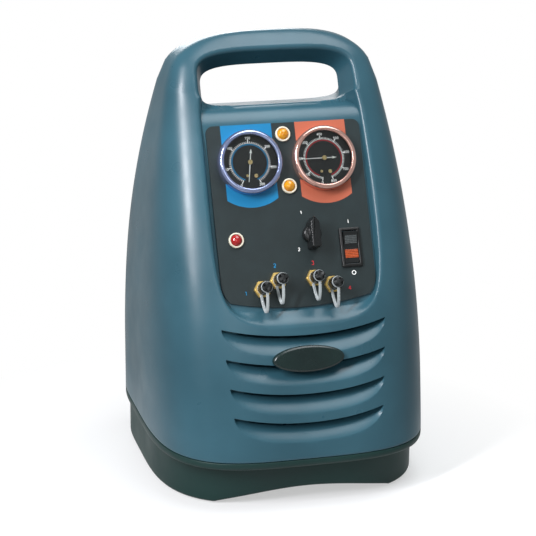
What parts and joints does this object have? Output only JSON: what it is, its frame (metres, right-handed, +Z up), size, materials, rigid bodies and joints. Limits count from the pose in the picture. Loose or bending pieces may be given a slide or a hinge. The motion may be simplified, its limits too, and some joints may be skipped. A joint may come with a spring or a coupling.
{
  "type": "refrigerant recovery machine",
  "caption": "Portable refrigerant recovery machine: leaning wedge housing with a carrying arch, gauges, lamps, selector, rocker switch and capped hose ports over a louvred front.",
  "frame": {"origin": "on the floor, under the middle of the machine's outline", "axes": "+X to the right seen from the front, +Y to the back, +Z up"},
  "size_m": [0.305, 0.3166, 0.4797],
  "materials": {
    "shell_blue": "fine moulded texture",
    "shell_dark": "fine moulded texture",
    "rubber": "matt",
    "badge": "satin, bare",
    "panel": "printed film",
    "case_black": "matt",
    "dial": "matt print",
    "needle": "matt paint",
    "chrome": "polished",
    "glass": "clear",
    "lamp_ring": "gloss",
    "amber": "clear tint",
    "red": "clear tint",
    "knob_black": "satin",
    "cap_black": "matt",
    "strap": "translucent",
    "window_grey": "gloss",
    "window_orange": "gloss",
    "brass": "machined",
    "copper": "drawn copper tube",
    "aluminium": "machined and cast",
    "motor_paint": "satin",
    "steel": "plated"
  },
  "bodies": {
    "housing": {"front_shell": "shell_blue", "rear_shell": "shell_dark", "base_tray": "shell_dark", "foot_pads": "rubber", "vibration_mounts": "rubber", "cord_gland": "rubber", "badge_plate": "badge", "control_panel": "panel", "low_gauge_case": "case_black", "high_gauge_case": "case_black", "lamp_holders": "case_black", "switch_body": "case_black", "fan_shroud": "case_black", "low_gauge_dial": "dial", "high_gauge_dial": "dial", "low_gauge_bezel": "chrome", "high_gauge_bezel": "chrome", "low_gauge_lens": "glass", "high_gauge_lens": "glass", "lamp_bezels": "lamp_ring", "liquid_lamp_lens": "amber", "vapour_lamp_lens": "amber", "fault_lamp_lens": "red", "switch_frame": "knob_black", "cap_straps": "strap", "selector_valve": "brass", "port_fittings": "brass", "port_nuts": "brass", "pressure_switch": "brass", "condenser_bends": "copper", "suction_tube": "copper", "discharge_tube": "copper", "liquid_tube": "copper", "gauge_lines": "copper", "valve_manifold": "aluminium", "compressor_crankcase": "aluminium", "compressor_heads": "aluminium", "condenser_core": "aluminium", "compressor_motor": "motor_paint", "fan_motor": "motor_paint", "start_capacitor": "motor_paint", "compressor_plate": "steel", "shell_screws": "steel"},
    "low_needle": {"low_gauge_pointer": "needle"},
    "high_needle": {"high_gauge_pointer": "needle"},
    "selector": {"selector_knob": "knob_black", "selector_stem": "brass"},
    "rocker": {"switch_rocker": "knob_black", "switch_upper_window": "window_grey", "switch_lower_window": "window_orange"},
    "fan": {"fan_blades": "case_black"},
    "tank_liquid_closure": {"tank_liquid_cap": "cap_black", "tank_liquid_eye": "strap"},
    "system_liquid_closure": {"system_liquid_cap": "cap_black", "system_liquid_eye": "strap"},
    "tank_vapour_closure": {"tank_vapour_cap": "cap_black", "tank_vapour_eye": "strap"},
    "system_vapour_closure": {"system_vapour_cap": "cap_black", "system_vapour_eye": "strap"}
  },
  "joints": [
    {"name": "low_needle_turn", "type": "hinge", "parent": "housing", "child": "low_needle", "pos_m": [-0.041, -0.04241, 0.35361], "axis": [0, 0.9041, -0.4274], "range_deg": [0, 326], "stiffness_Nm_per_rad": 0.002},
    {"name": "high_needle_turn", "type": "hinge", "parent": "housing", "child": "high_needle", "pos_m": [0.041, -0.04241, 0.35361], "axis": [0, 0.9041, -0.4274], "range_deg": [-81, 251], "stiffness_Nm_per_rad": 0.002},
    {"name": "selector_turn", "type": "hinge", "parent": "housing", "child": "selector", "pos_m": [0.0183, -0.07715, 0.28011], "axis": [0, 0.9041, -0.4274], "range_deg": [-90, 90]},
    {"name": "rocker_tip", "type": "hinge", "parent": "housing", "child": "rocker", "pos_m": [0.0605, -0.08425, 0.2651], "axis": [1, 0, 0], "range_deg": [-12, 0]},
    {"name": "fan_spin", "type": "hinge", "parent": "housing", "child": "fan", "pos_m": [0, 0.06525, 0.205], "axis": [0, 1, 0], "continuous": true},
    {"name": "tank_liquid_cap_off", "type": "slide", "parent": "housing", "child": "tank_liquid_closure", "axis": [0, -0.9041, 0.4274], "range_m": [0, 0.018]},
    {"name": "system_liquid_cap_off", "type": "slide", "parent": "housing", "child": "system_liquid_closure", "axis": [0, -0.9041, 0.4274], "range_m": [0, 0.018]},
    {"name": "tank_vapour_cap_off", "type": "slide", "parent": "housing", "child": "tank_vapour_closure", "axis": [0, -0.9041, 0.4274], "range_m": [0, 0.018]},
    {"name": "system_vapour_cap_off", "type": "slide", "parent": "housing", "child": "system_vapour_closure", "axis": [0, -0.9041, 0.4274], "range_m": [0, 0.018]}
  ]
}
